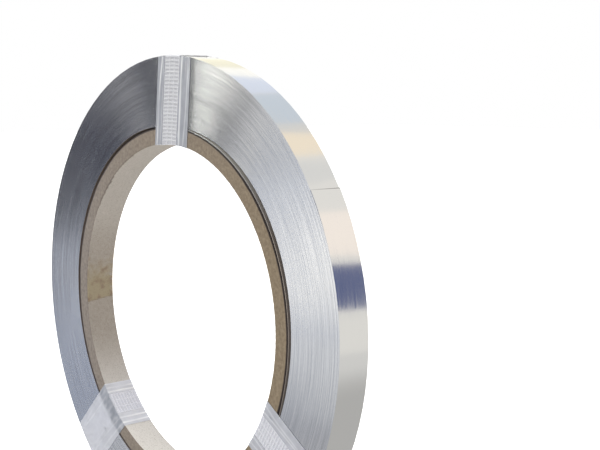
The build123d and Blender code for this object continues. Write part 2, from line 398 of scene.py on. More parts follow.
rollTurn = addNode(tree, "FunctionNodeEulerToRotation", None, {0: rollVector.outputs[0]})
clocked = addNode(tree, "GeometryNodeTransform", None,
                  {"Geometry": creased.outputs[0], "Rotation": rollTurn.outputs[0]})
lift = addNode(tree, "ShaderNodeCombineXYZ", None, {"Z": given["Centre height"]})
stood = addNode(tree, "GeometryNodeTransform", None, {
    "Geometry": clocked.outputs[0], "Translation": lift.outputs[0], "Rotation": Euler((pi / 2, 0, 0))})
whole = addNode(tree, "GeometryNodeRealizeInstances", None, {0: stood.outputs[0]})
faced = addNode(tree, "GeometryNodeSetMaterial", None, {0: whole.outputs[0], "Material": given["Face steel"]})
facing = addNode(tree, "ShaderNodeSeparateXYZ", None,
                 {0: addNode(tree, "GeometryNodeInputNormal").outputs[0]})
axial = addNode(tree, "ShaderNodeMath", {"operation": "ABSOLUTE"}, {0: facing.outputs["Y"]})
onEdge = addNode(tree, "ShaderNodeMath", {"operation": "GREATER_THAN"}, {0: axial.outputs[0], 1: 0.3})
edged = addNode(tree, "GeometryNodeSetMaterial", None,
                {0: faced.outputs[0], "Selection": onEdge.outputs[0], "Material": given["Edge steel"]})
tree.links.new(edged.outputs[0], result.inputs[0])

winding = grow("woundStrip", bpy.data.meshes.new("woundStrip"), tree, {
    "Turns": strip["turns"], "Points per turn": strip["pointsPerTurn"],
    "Inner radius": (strip["boreRadius"] + strip["pitch"] / 2) * mm,
    "Outer radius": (outerRadius - strip["thickness"] / 2) * mm,
    "Thickness": strip["thickness"] * mm, "Width": strip["width"] * mm, "Edge bevel": strip["edgeBevel"] * mm,
    "Start clock": strip["startClock"], "Wander": strip["wander"] * mm,
    "Core slack": strip["coreSlack"] * mm, "Core rest clock": strip["coreRestClock"],
    "Loose turns": strip["looseTurns"], "Gap start": strip["gapStart"], "Gap end": strip["gapEnd"],
    "Free turn start": strip["freeTurnStart"], "Free turn end": strip["freeTurnEnd"],
    "Free turn lift": strip["freeTurnLift"], "Left gap": strip["leftGap"] * mm,
    "End lift": strip["endLift"] * mm,
    "Seed": strip["seed"], "Centre height": centreHeight * mm,
    "Face steel": rolledSteel, "Edge steel": slitEdges,
})
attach(winding, "root")
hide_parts("strip_winding")
print("strip wound:", len(winding.data.polygons), "faces")

# Spirally wound grey board: rough, matt, brown where it was sawn and greyer on its liner
coreBoard, tree, shader = newMaterial(
    "spirally wound paper board", {"Roughness": 0.9, "Specular IOR Level": 0.25}
)
place = addNode(tree, "ShaderNodeTexCoord").outputs["Object"]
middle = addNode(tree, "ShaderNodeVectorMath", {"operation": "SUBTRACT"},
                 {0: place, 1: (coreCentre[0] * mm, 0, coreCentre[1] * mm)}).outputs[0]
flat = addNode(tree, "ShaderNodeVectorMath", {"operation": "MULTIPLY"}, {0: middle, 1: (1, 0, 1)})
radius = addNode(tree, "ShaderNodeVectorMath", {"operation": "LENGTH"}, {0: flat.outputs[0]}).outputs["Value"]
liner = addNode(tree, "ShaderNodeAttribute", {"attribute_name": "liner"}).outputs["Fac"]
overlap = addNode(tree, "ShaderNodeAttribute", {"attribute_name": "overlap"}).outputs["Fac"]
seam = addNode(tree, "ShaderNodeAttribute", {"attribute_name": "seam"}).outputs["Fac"]
# Pulp lumps 3 mm across, fibre specks 1.1 mm, and plies 1.3 mm thick on the sawn end
lumps = addNode(tree, "ShaderNodeTexNoise", None, {"Vector": place, "Scale": 1 / (3 * mm), "Detail": 5.0})
specks = addNode(tree, "ShaderNodeTexNoise", None, {"Vector": place, "Scale": 1 / (1.1 * mm), "Detail": 2.0})
ply = addNode(tree, "ShaderNodeMath", {"operation": "MULTIPLY"}, {0: radius, 1: 2 * pi / (1.3 * mm)})
plyWave = addNode(tree, "ShaderNodeMath", {"operation": "SINE"}, {0: ply.outputs[0]})
plyDepth = addNode(tree, "ShaderNodeMapRange", None,
                   {"Value": plyWave.outputs[0], "From Min": -1.0, "To Min": 0.9})
fromMiddle = addNode(tree, "ShaderNodeSeparateXYZ", None, {0: middle}).outputs
# Painted light: the sawn end is warmer on the right, where the light falls, and greyer on the left
leftToRight = addNode(tree, "ShaderNodeMapRange", None, {
    "Value": fromMiddle["X"], "From Min": -coreBoreRadius * mm, "From Max": coreBoreRadius * mm})
paleEnd = addNode(tree, "ShaderNodeMix", {"data_type": "RGBA"},
                  {0: leftToRight.outputs[0], 6: paint("#8f8782"), 7: paint("#968875")})
darkEnd = addNode(tree, "ShaderNodeMix", {"data_type": "RGBA"},
                  {0: leftToRight.outputs[0], 6: paint("#746c69"), 7: paint("#796a58")})
mottled = addNode(tree, "ShaderNodeMapRange", None,
                  {"Value": lumps.outputs[0], "From Min": 0.25, "From Max": 0.75})
endColour = addNode(tree, "ShaderNodeMix", {"data_type": "RGBA"},
                    {0: mottled.outputs[0], 6: darkEnd.outputs[2], 7: paleEnd.outputs[2]})
greyLiner = addNode(tree, "ShaderNodeMix", {"data_type": "RGBA"},
                    {0: lumps.outputs[0], 6: paint("#9b9288"), 7: paint("#b3aaa1")})
# The liner is painted paler along the bottom of the bore, as painted light where it faces up, and paler a
# little at its top
paintedShading = addNode(tree, "ShaderNodeMapRange", {"interpolation_type": "SMOOTHSTEP"}, {
    "Value": fromMiddle["Z"], "From Min": -125 * mm, "From Max": -35 * mm, "To Min": 0.8, "To Max": 0.0})
paler = addNode(tree, "ShaderNodeMapRange", {"interpolation_type": "SMOOTHSTEP"}, {
    "Value": fromMiddle["Z"], "From Min": 30 * mm, "From Max": 90 * mm,
    "To Min": paintedShading.outputs[0], "To Max": 0.22})
linerColour = addNode(tree, "ShaderNodeMix", {"data_type": "RGBA"},
                      {0: paler.outputs[0], 6: greyLiner.outputs[2], 7: paint("#ebe7e3")})
# Where the liner laps, glue has soaked through: yellowish, with brown marks about 8 mm long
stains = addNode(tree, "ShaderNodeTexNoise", None, {"Vector": place, "Scale": 1 / (8 * mm), "Detail": 3.0})
glued = addNode(tree, "ShaderNodeMapRange", None,
                {"Value": stains.outputs[0], "From Min": 0.5, "From Max": 0.68})
glueColour = addNode(tree, "ShaderNodeMix", {"data_type": "RGBA"},
                     {0: glued.outputs[0], 6: paint("#a19479"), 7: paint("#8a7460")})
soaked = addNode(tree, "ShaderNodeMath", {"operation": "MULTIPLY_ADD"},
                 {0: stains.outputs[0], 1: 0.8, 2: overlap})
soak = addNode(tree, "ShaderNodeMapRange", {"interpolation_type": "SMOOTHSTEP"},
               {"Value": soaked.outputs[0], "From Min": 0.55, "From Max": 1.1, "To Max": 0.85})
lapColour = addNode(tree, "ShaderNodeMix", {"data_type": "RGBA"},
                    {0: soak.outputs[0], 6: linerColour.outputs[2], 7: glueColour.outputs[2]})
body = addNode(tree, "ShaderNodeMix", {"data_type": "RGBA"},
               {0: liner, 6: endColour.outputs[2], 7: lapColour.outputs[2]})
speckAmount = addNode(tree, "ShaderNodeMapRange", None,
                      {"Value": specks.outputs[0], "From Min": 0.52, "From Max": 0.72, "To Max": 0.35})
speckled = addNode(tree, "ShaderNodeMix", {"data_type": "RGBA"},
                   {0: speckAmount.outputs[0], 6: body.outputs[2], 7: paint("#6f6253")})
plied = addNode(tree, "ShaderNodeMix", {"data_type": "RGBA", "blend_type": "MULTIPLY"},
                {0: 0.6, 6: speckled.outputs[2], 7: plyDepth.outputs[0]})
lined = addNode(tree, "ShaderNodeMix", {"data_type": "RGBA"},
                {0: seam, 6: plied.outputs[2], 7: paint("#857869")})
# The outer corner is painted dark as the shadow in the gap to the strip, in a wider line on the left
gapShadeFrom = addNode(tree, "ShaderNodeMapRange", None, {
    "Value": leftToRight.outputs[0], "To Min": (coreOuterRadius - 1.9) * mm, "To Max": (coreOuterRadius - 1.0) * mm})
gapShadeTo = addNode(tree, "ShaderNodeMath", {"operation": "ADD"}, {0: gapShadeFrom.outputs[0], 1: 0.4 * mm})
gapShade = addNode(tree, "ShaderNodeMapRange", None, {
    "Value": radius, "From Min": gapShadeFrom.outputs[0], "From Max": gapShadeTo.outputs[0], "To Max": 0.9})
gapShaded = addNode(tree, "ShaderNodeMix", {"data_type": "RGBA"},
                   {0: gapShade.outputs[0], 6: lined.outputs[2], 7: paint("#3a3436")})
tree.links.new(gapShaded.outputs[2], shader.inputs["Base Color"])
rough = addNode(tree, "ShaderNodeMath", {"operation": "ADD"}, {0: lumps.outputs[0], 1: specks.outputs[0]})
bump = addNode(tree, "ShaderNodeBump", None,
               {"Strength": 0.5, "Distance": 0.3 * mm, "Height": rough.outputs[0]})
tree.links.new(bump.outputs[0], shader.inputs["Normal"])

# The paper core: a thick tube of plies, sawn off, with its inner liner torn back in places along the front
core = {
    "segments": 900,
    "plies": 11,
    "sawDepth": 0.35,
    "linerThickness": 0.35,
    "tearDepth": 2.6,
    "tearFrom": 288.0,
    "tearTo": 352.0,
    "tearFade": 14.0,
    "lapStart": 265.8,
    "lapEnd": 287.0,
    "lapSlant": 0.045,
    "lapHeight": 0.2,
}


def jitter(x, y, z=0.0):
    return noise.noise(Vector((x, y, z)))


def corePoint(radius, depth, clock):
    angle = radians(clock)
    return (coreCentre[0] + radius * sin(angle), depth, coreCentre[1] + radius * cos(angle))


def tornBack(clock):
    # How far the liner is torn back from the front end: a ragged line with a few deep notches
    x, z = 40 * sin(radians(clock)), 40 * cos(radians(clock))
    fromEnds = min(clock - core["tearFrom"], core["tearTo"] - clock)
    within = min(1.0, max(0.0, fromEnds / core["tearFade"]))
    wave = 0.5 + 0.9 * jitter(x * 0.12, z * 0.12, 2)
    ragged = 0.45 * abs(jitter(x * 0.7, z * 0.7, 5)) + 0.3 * abs(jitter(x * 2.1, z * 2.1, 9))
    notch = max(0.0, jitter(x * 0.32, z * 0.32, 13) - 0.22) * 3.0
    return 0.25 + 0.5 * ragged + within * core["tearDepth"] * max(0.0, 0.75 * wave + ragged + notch - 0.35)


def makeCore():
    # Each section runs along the bore from back to front, out over the sawn end and back along the outside
    wall = coreOuterRadius - coreBoreRadius
    rows, liner, overlap, seam = [], [], [], []
    for i in range(core["segments"]):
        clock = 360 * i / core["segments"]
        x, z = 40 * sin(radians(clock)), 40 * cos(radians(clock))
        torn = tornBack(clock)
        row, isLiner, isLap, isSeam = [], [], [], []
        tearEdge = -halfLength + 0.2 + torn
        for step in range(8):
            y = halfLength - 0.4 + step * (tearEdge - halfLength + 0.4) / 7
            pastSeam = clock - core["lapStart"] - core["lapSlant"] * y
            inLap = 1 - pastSeam / (core["lapEnd"] - core["lapStart"]) if pastSeam > 0 else 0.0
            lift = core["lapHeight"] * max(0.0, inLap)
            row.append((coreBoreRadius + 0.12 * jitter(x * 0.3, z * 0.3, y * 0.1) + 0.2 - lift, y))
            isLiner.append(1.0)
            isLap.append(max(0.0, inLap))
            isSeam.append(0.55 if abs(pastSeam) < 0.22 else 0.0)
        bare = coreBoreRadius + 0.2 + core["linerThickness"] * min(1.0, torn)
        row.append((bare - 0.05, tearEdge - 0.1))
        row.append((bare + 0.08 * jitter(x * 2, z * 2, 31), tearEdge - 0.35 * torn))
        row.append((bare + 0.2 + 0.25 * jitter(x * 1.1, z * 1.1, 33), -halfLength + 0.3))
        row.append((bare + 0.55 + 0.25 * jitter(x * 1.3, z * 1.3, 35), -halfLength + 0.12))
        isLiner += [0.35, 0.0, 0.0, 0.0]
        for ply in range(1, core["plies"]):
            radius = coreBoreRadius + wall * ply / core["plies"]
            recess = core["sawDepth"] * (0.5 + jitter(x * 0.35, z * 0.35, ply * 7.3))
            recess += 0.1 * jitter(x * 1.7, z * 1.7, ply * 3.1)
            row.append((radius + 0.15 * jitter(x, z, ply * 1.9), -halfLength + max(0.0, recess)))
            isLiner.append(0.0)
        row.append((coreOuterRadius - 0.5, -halfLength + 0.15 + 0.15 * jitter(x, z, 40)))
        row.append((coreOuterRadius, -halfLength + 0.8))
        row.append((coreOuterRadius, halfLength - 0.8))
        row.append((coreOuterRadius - 0.5, halfLength - 0.15))
        isLiner += [0.0] * 4
        for ply in range(core["plies"] - 1, 0, -1):
            radius = coreBoreRadius + wall * ply / core["plies"]
            recess = core["sawDepth"] * (0.5 + jitter(x * 0.35, z * 0.35, ply * 5.7 + 90))
            row.append((radius, halfLength - max(0.0, recess)))
            isLiner.append(0.0)
        row.append((coreBoreRadius + 0.5, halfLength - 0.15))
        isLiner.append(0.3)
        row.append(row[0])
        isLiner.append(1.0)
        rows.append([corePoint(radius, depth, clock) for radius, depth in row])
        liner.append(isLiner)
        overlap.append(isLap + [0.0] * (len(row) - len(isLap)))
        seam.append(isSeam + [0.0] * (len(row) - len(isSeam)))
    mesh = sheetMesh("paperCore", rows, True, {"liner": liner, "overlap": overlap, "seam": seam})
    mesh.materials.append(coreBoard)
    return mesh


def weld(mesh):
    # Closes the seam of a tube made as a sheet, with its faces pointing out
    shell = bmesh.new()
    shell.from_mesh(mesh)
    bmesh.ops.remove_doubles(shell, verts=shell.verts, dist=0.001 * mm)
    bmesh.ops.recalc_face_normals(shell, faces=shell.faces)
    shell.to_mesh(mesh)
    shell.free()
    return mesh


paperCore = bpy.data.objects.new("paperCore", weld(makeCore()))
scene.collection.objects.link(paperCore)
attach(paperCore, "root")
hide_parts("paper_core")
print("core made:", len(paperCore.data.polygons), "faces")

# Clear polypropylene film: thin, glossy, clear where it sticks to the band, milky beside it, whiter in its
# folds, and grey with painted shade in small folds, beside the band and over the sawn core
clearFilm, tree, shader = newMaterial(
    "clear polypropylene film", {"Roughness": 0.16, "IOR": 1.49, "Coat Weight": 0.4, "Coat Roughness": 0.05}
)
place = addNode(tree, "ShaderNodeTexCoord").outputs["Object"]
crease = addNode(tree, "ShaderNodeAttribute", {"attribute_name": "crease"}).outputs["Fac"]
# Milky patches 14 mm across, and fine crinkles 2 mm apart
clouds = addNode(tree, "ShaderNodeTexNoise", None, {"Vector": place, "Scale": 1 / (14 * mm), "Detail": 3.0})
crinkle = addNode(tree, "ShaderNodeTexNoise", None, {"Vector": place, "Scale": 1 / (2 * mm), "Detail": 2.0})
milk = addNode(tree, "ShaderNodeMapRange", None, {
    "Value": clouds.outputs[0], "From Min": 0.35, "From Max": 0.65, "To Min": 0.48, "To Max": 0.62})
stuck = addNode(tree, "ShaderNodeAttribute", {"attribute_name": "stuck"}).outputs["Fac"]
cleared = addNode(tree, "ShaderNodeMapRange", None,
                  {"Value": stuck, "To Min": milk.outputs[0], "To Max": 0.12})
shade = addNode(tree, "ShaderNodeAttribute", {"attribute_name": "shade"}).outputs["Fac"]
covered = addNode(tree, "ShaderNodeMath", {"operation": "MULTIPLY_ADD"},
                  {0: crease, 1: 0.45, 2: cleared.outputs[0]})
cover = addNode(tree, "ShaderNodeMath", {"operation": "MULTIPLY_ADD", "use_clamp": True},
                {0: shade, 1: 0.45, 2: covered.outputs[0]})
tree.links.new(cover.outputs[0], shader.inputs["Alpha"])
tint = addNode(tree, "ShaderNodeMix", {"data_type": "RGBA"},
               {0: crease, 6: paint("#dadce8"), 7: paint("#fdfdff")})
unfolded = addNode(tree, "ShaderNodeMath", {"operation": "MULTIPLY_ADD"}, {0: crease, 1: -0.6, 2: 1.0})
dimmed = addNode(tree, "ShaderNodeMath", {"operation": "MULTIPLY"}, {0: shade, 1: unfolded.outputs[0]})
paintedGrey = addNode(tree, "ShaderNodeMix", {"data_type": "RGBA"},
                 {0: dimmed.outputs[0], 6: tint.outputs[2], 7: paint("#80848f")})
tree.links.new(paintedGrey.outputs[2], shader.inputs["Base Color"])
bump = addNode(tree, "ShaderNodeBump", None,
               {"Strength": 0.4, "Distance": 0.1 * mm, "Height": crinkle.outputs[0]})
tree.links.new(bump.outputs[0], shader.inputs["Normal"])

# White polyester threads, a soft satin white, in a clear backing that lets the steel show through a little
whiteThread, tree, shader = newMaterial("white polyester thread", {"Roughness": 0.55, "Sheen Weight": 0.2})
place = addNode(tree, "ShaderNodeTexCoord").outputs["Object"]
fibres = addNode(tree, "ShaderNodeTexNoise", None, {"Vector": place, "Scale": 1 / (0.8 * mm), "Detail": 3.0})
# The band's colour is multiplied by painted light: lighter on the rim and in the bore, darker at the top
bandPaintedLight = addNode(tree, "ShaderNodeAttribute", {"attribute_name": "bandPaintedLight"}).outputs["Fac"]
tint = addNode(tree, "ShaderNodeMix", {"data_type": "RGBA"},
               {0: fibres.outputs[0], 6: paint("#e4e4ea"), 7: paint("#efeff4")})
toned = addNode(tree, "ShaderNodeMix", {"data_type": "RGBA", "blend_type": "MULTIPLY"},
                {0: 1.0, 6: tint.outputs[2], 7: bandPaintedLight})
tree.links.new(toned.outputs[2], shader.inputs["Base Color"])
bandBacking, tree, shader = newMaterial("milky polypropylene backing", {"Roughness": 0.4, "Alpha": 0.92})
place = addNode(tree, "ShaderNodeTexCoord").outputs["Object"]
weave = addNode(tree, "ShaderNodeTexNoise", None, {"Vector": place, "Scale": 1 / (1.2 * mm), "Detail": 3.0})
# The same painted light on the backing
bandPaintedLight = addNode(tree, "ShaderNodeAttribute", {"attribute_name": "bandPaintedLight"}).outputs["Fac"]
tint = addNode(tree, "ShaderNodeMix", {"data_type": "RGBA"},
               {0: weave.outputs[0], 6: paint("#d1d1da"), 7: paint("#e0e0e7")})
toned = addNode(tree, "ShaderNodeMix", {"data_type": "RGBA", "blend_type": "MULTIPLY"},
                {0: 1.0, 6: tint.outputs[2], 7: bandPaintedLight})
tree.links.new(toned.outputs[2], shader.inputs["Base Color"])

# The three bindings. A film can be greyed with painted shade on the front face, and again over the sawn
# core. A fold runs from the bore to the rim: where it starts and ends across the film, its bow, half width,
# height and whiteness. A mark is a painted shadow of a small fold on the front face: its place across the
# film, its share of the way to the rim, its half width across and its half length as a share of that way
bindings = {
    "corner": 0.9,
    "filmWidth": 50.0,
    "filmColumns": 60,
    "filmSpacing": 1.1,
    "filmThickness": 0.07,
    "filmLow": 0.2,
    "filmHigh": 0.55,
    "rimFolds": 0.3,
    "sideBandPaintedLight": 1.25,
    "bandWidth": 23.0,
    "bandColumns": 22,
    "bandWaver": 0.25,
    "bandLift": 0.08,
    "bandThickness": 0.07,
    "threadHeight": 0.08,
    "rowPitch": 1.1,
    "rowsPerRib": 3,
    "columnsPerLine": 7,
    "top": {
        "clock": 2.0, "skew": 3.4, "bandShift": -2.5, "bandPaintedLight": 0.8, "faceFolds": 1.0, "faceStuck": 1.0,
        "paintedGrey": 0.65, "coreShade": 0.0, "marks": [(10.4, 0.03, 1.0, 0.11)],
        "folds": [(-21.8, -18.5, -0.8, 0.7, 0.3, 0.9), (-17.0, -15.6, 0.6, 0.5, 0.22, 0.6),
                  (12.4, 12.8, -0.3, 0.7, 0.3, 1.0), (18.6, 21.6, 1.2, 0.6, 0.22, 0.6),
                  (10.2, 11.6, 0.8, 0.5, 0.2, 0.5)],
    },
    "right": {
        "clock": 122.0, "skew": 0.0, "bandShift": 0.0, "bandPaintedLight": 1.08, "faceFolds": 0.7, "faceStuck": 0.8,
        "paintedGrey": 0.3, "coreShade": 0.0, "marks": [(-16.0, 0.12, 1.2, 0.05)],
        "folds": [(-20.0, -18.0, 1.0, 0.8, 0.3, 0.7), (-14.5, -15.5, -0.8, 0.6, 0.25, 0.9),
                  (14.0, 15.0, 1.2, 0.7, 0.3, 0.8), (20.5, 19.0, -1.0, 0.7, 0.25, 0.6)],
    },
    "left": {
        "clock": 223.0, "skew": 2.2, "bandShift": 2.0, "bandPaintedLight": 1.08, "faceFolds": 0.3, "faceStuck": 0.1,
        "paintedGrey": 0.0, "coreShade": 1.0, "marks": [(-7.0, 0.42, 1.0, 0.02)],
        "folds": [(-21.0, -19.0, 1.0, 0.9, 0.25, 0.9), (-14.8, -12.0, 1.6, 0.6, 0.3, 0.8),
                  (15.5, 17.0, -1.0, 0.7, 0.3, 0.9), (20.0, 18.0, 1.2, 0.8, 0.2, 0.5)],
    },
}


def loopStations(spacing):
    # Once round the coil's section: share of the way from bore to rim, offset from it, depth, and the way out
    corner, half = bindings["corner"], halfLength + 0.14
    straight = half - corner
    faceSteps = round((outerRadius - coreBoreRadius) / spacing)
    sideSteps = round(2 * straight / spacing)
    bends = [pi / 2 * k / 4 for k in range(1, 4)]
    stations = [(k / faceSteps, corner * (1 - 2 * k / faceSteps), -half, 0, -1) for k in range(faceSteps + 1)]
    stations += [(1, corner * (sin(b) - 1), -straight - corner * cos(b), sin(b), -cos(b)) for b in bends]
    stations += [(1, 0, straight * (2 * k / sideSteps - 1), 1, 0) for k in range(sideSteps + 1)]
    stations += [(1, corner * (cos(b) - 1), straight + corner * sin(b), cos(b), sin(b)) for b in bends]
    for k in range(faceSteps + 1):
        stations.append((1 - k / faceSteps, corner * (2 * k / faceSteps - 1), half, 0, 1))
    stations += [(0, corner * (1 - sin(b)), straight + corner * cos(b), -sin(b), cos(b)) for b in bends]
    stations += [(0, 0, straight * (1 - 2 * k / sideSteps), -1, 0) for k in range(sideSteps + 1)]
    stations += [(0, corner * (1 - cos(b)), -straight - corner * sin(b), -cos(b), -sin(b)) for b in bends]
    return stations


def reachAlong(start, way, centre, radius):
    # How far along a line its far crossing of a circle is
    x, z = start[0] - centre[0], start[1] - centre[1]
    ahead = x * way[0] + z * way[1]
    return -ahead + sqrt(ahead**2 - x**2 - z**2 + radius**2)


def loopPoint(side, station, across, lift):
    blend, offset, depth, outRadial, outAxial = station
    clock, slant = radians(side["clock"]), radians(side["clock"] + side["skew"])
    way = (sin(slant), cos(slant))
    middleRadius = (outerRadius + coreBoreRadius) / 2
    start = (middleRadius * sin(clock) + across * cos(slant), middleRadius * cos(clock) - across * sin(slant))
    rim = reachAlong(start, way, (0, 0), outerRadius)
    bore = reachAlong(start, way, (coreCentre[0], coreCentre[1] - centreHeight), coreBoreRadius)
    far = bore + (rim - bore) * blend + offset + lift * outRadial
    return (start[0] + far * way[0], depth + lift * outAxial, centreHeight + start[1] + far * way[1])


def softStep(value):
    return 1 / (1 + exp(-max(-20.0, min(20.0, value))))


def filmLift(side, station, across, run, seed):
    # The film tents over the band, is drawn up into folds beside it and lies flat along its edges
    fromBand = abs(across - side["bandShift"]) - bindings["bandWidth"] / 2
    tent = softStep((1.5 - fromBand) * 1.6)
    onFace = station[4] < -0.5
    stuck = max(softStep(-6 * fromBand) * (side["faceStuck"] if onFace else 1.0), min(1.0, 3 * station[3]))
    edge = bindings["filmWidth"] / 2 - abs(across)
    lift = bindings["filmLow"] + 0.2 * tent
    folded = bindings["rimFolds"] if station[3] > 0.5 else side["faceFolds"] if onFace else 1.0
    whiteness = 0.3 if station[3] < -0.5 else 0.0
    patchy = softStep(jitter(across / 4, run / 9, 7) * 3 + 1.2)
    shade = side["coreShade"] * softStep((0.2 - station[0]) * 90) * patchy
    for place, share, wide, long in side["marks"]:
        shade = max(shade, 1.1 * exp(-(((across - place) / wide) ** 2) - ((station[0] - share) / long) ** 2))
    shade = max(shade, side["paintedGrey"] * softStep(6 * fromBand)) if onFace else 0.0
    for start, end, bow, width, height, white in side["folds"]:
        blend = station[0]
        middle = start + (end - start) * blend + bow * sin(pi * blend)
        middle += 0.8 * jitter(run / 30, start, seed)
        fade = 0.65 + 0.7 * jitter(run / 22, start * 3, seed + 9)
        bell = exp(-(((across - middle) / width) ** 2)) * max(0.0, fade)
        lift += folded * height * bell
        whiteness += folded * white * bell
    lift += 0.1 * jitter(across / 5, run / 16, seed) + 0.05 * jitter(across / 1.8, run / 45, seed + 4)
    lift *= (0.3 + 0.7 * min(1.0, edge / 3)) * (0.6 if station[3] > 0.5 else 1.0)
    if edge < 0.8:
        whiteness += 0.4 * folded
    low = bindings["filmThickness"] + 0.02
    if tent > 0.5:
        low += bindings["bandLift"] + bindings["bandThickness"] + bindings["threadHeight"] + 0.02
    return max(low, min(bindings["filmHigh"], lift)), min(1.0, whiteness), stuck, min(1.0, shade)


def makeFilm(name, side, seed):
    stations = loopStations(bindings["filmSpacing"])
    columns = bindings["filmColumns"]
    rows, creases, stuck, shades = [], [], [], []
    for i, station in enumerate(stations):
        across = [bindings["filmWidth"] * (j / columns - 0.5) for j in range(columns + 1)]
        shape = [filmLift(side, station, place, i * bindings["filmSpacing"], seed) for place in across]
        rows.append([loopPoint(side, station, place, lift) for place, (lift, *_) in zip(across, shape)])
        creases.append([values[1] for values in shape])
        stuck.append([values[2] for values in shape])
        shades.append([values[3] for values in shape])
    mesh = sheetMesh(name, rows, True, {"crease": creases, "stuck": stuck, "shade": shades})
    mesh.materials.append(clearFilm)
    film = bpy.data.objects.new(name, mesh)
    scene.collection.objects.link(film)
    thicken = film.modifiers.new("thicken", "SOLIDIFY")
    thicken.thickness = bindings["filmThickness"] * mm
    thicken.offset = -1
    graph = bpy.context.evaluated_depsgraph_get()
    film.data = bpy.data.meshes.new_from_object(
        film.evaluated_get(graph), preserve_all_data_layers=True, depsgraph=graph
    )
    film.modifiers.clear()
    return film


# Ribbed band: one row in three and every seventh column of the backing stand up as threads
bandTree, given, result = newTree("ribbed band", {
    "Columns": "Float", "Rows per rib": "Float", "Columns per line": "Float", "Backing thickness": "Float",
    "Thread height": "Float", "Backing": "Material", "Thread": "Material",
})
index = addNode(bandTree, "GeometryNodeInputIndex").outputs[0]
rowRatio = addNode(bandTree, "ShaderNodeMath", {"operation": "DIVIDE"}, {0: index, 1: given["Columns"]})
row = addNode(bandTree, "ShaderNodeMath", {"operation": "FLOOR"}, {0: rowRatio.outputs[0]})
column = addNode(bandTree, "ShaderNodeMath", {"operation": "MODULO"}, {0: index, 1: given["Columns"]})
rowLeft = addNode(bandTree, "ShaderNodeMath", {"operation": "MODULO"},
                  {0: row.outputs[0], 1: given["Rows per rib"]})
columnLeft = addNode(bandTree, "ShaderNodeMath", {"operation": "MODULO"},
                     {0: column.outputs[0], 1: given["Columns per line"]})
isRib = addNode(bandTree, "ShaderNodeMath", {"operation": "GREATER_THAN"}, {0: rowLeft.outputs[0], 1: 1.5})
isLine = addNode(bandTree, "ShaderNodeMath", {"operation": "COMPARE"},
                 {0: columnLeft.outputs[0], 1: 0.0, 2: 0.5})
isThread = addNode(bandTree, "ShaderNodeMath", {"operation": "MAXIMUM"},
                   {0: isRib.outputs[0], 1: isLine.outputs[0]})
marked = addNode(bandTree, "GeometryNodeStoreNamedAttribute", {"domain": "FACE"},
                 {0: given["Geometry"], "Name": "thread", "Value": isThread.outputs[0]})
backing = addNode(bandTree, "GeometryNodeExtrudeMesh", None,
                  {0: marked.outputs[0], "Offset Scale": given["Backing thickness"], "Individual": False})
isMarked = addNode(bandTree, "GeometryNodeInputNamedAttribute", None, {"Name": "thread"})
onTop = addNode(bandTree, "ShaderNodeMath", {"operation": "MULTIPLY"},
                {0: backing.outputs["Top"], 1: isMarked.outputs["Attribute"]})
threads = addNode(bandTree, "GeometryNodeExtrudeMesh", None, {
    0: backing.outputs[0], "Selection": onTop.outputs[0], "Offset Scale": given["Thread height"],
    "Individual": False})
underside = addNode(bandTree, "GeometryNodeFlipFaces", None, {0: marked.outputs[0]})
joined = addNode(bandTree, "GeometryNodeJoinGeometry", None, {0: threads.outputs[0]})
bandTree.links.new(underside.outputs[0], joined.inputs[0])
closed = addNode(bandTree, "GeometryNodeMergeByDistance", None,
                 {0: joined.outputs[0], "Distance": 0.001 * mm})
whole = addNode(bandTree, "GeometryNodeRealizeInstances", None, {0: closed.outputs[0]})
clear = addNode(bandTree, "GeometryNodeSetMaterial", None,
                {0: whole.outputs[0], "Material": given["Backing"]})
raised = addNode(bandTree, "ShaderNodeMath", {"operation": "MAXIMUM"},
                 {0: threads.outputs["Top"], 1: threads.outputs["Side"]})
threaded = addNode(bandTree, "GeometryNodeSetMaterial", None,
                   {0: clear.outputs[0], "Selection": raised.outputs[0], "Material": given["Thread"]})
bandTree.links.new(threaded.outputs[0], result.inputs[0])


def makeBand(name, side, seed):
    stations = loopStations(bindings["rowPitch"])
    columns = bindings["bandColumns"]
    rows, tones = [], []
    for i, station in enumerate(stations):
        row = []
        onSide = station[3] < -0.5 or station[3] > 0.3
        # Painted light on the band: one factor on the rim and in the bore, and each side's own factor on the
        # face
        tones.append([bindings["sideBandPaintedLight"] if onSide else side["bandPaintedLight"]] * (columns + 1))
        for j in range(columns + 1):
            across = bindings["bandWidth"] * (j / columns - 0.5) + side["bandShift"]
            across += bindings["bandWaver"] * jitter(i / 14, seed)
            row.append(loopPoint(side, station, across, bindings["bandLift"]))
        rows.append(row)
    return grow(name, sheetMesh(name, rows, True, {"bandPaintedLight": tones}), bandTree, {
        "Columns": float(columns), "Rows per rib": float(bindings["rowsPerRib"]),
        "Columns per line": float(bindings["columnsPerLine"]),
        "Backing thickness": bindings["bandThickness"] * mm, "Thread height": bindings["threadHeight"] * mm,
        "Backing": bandBacking, "Thread": whiteThread,
    })


for seed, label in enumerate(("top", "right", "left")):
    band = makeBand("ribbedBand." + label, bindings[label], seed * 11.0)
    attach(band, "root")
    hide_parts("binding_band_" + label)
    film = makeFilm("clearFilm." + label, bindings[label], seed * 17.0 + 3)
    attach(film, "root")
    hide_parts("tape_film_" + label)
    print(label, "binding made:", len(band.data.polygons), "and", len(film.data.polygons), "faces")

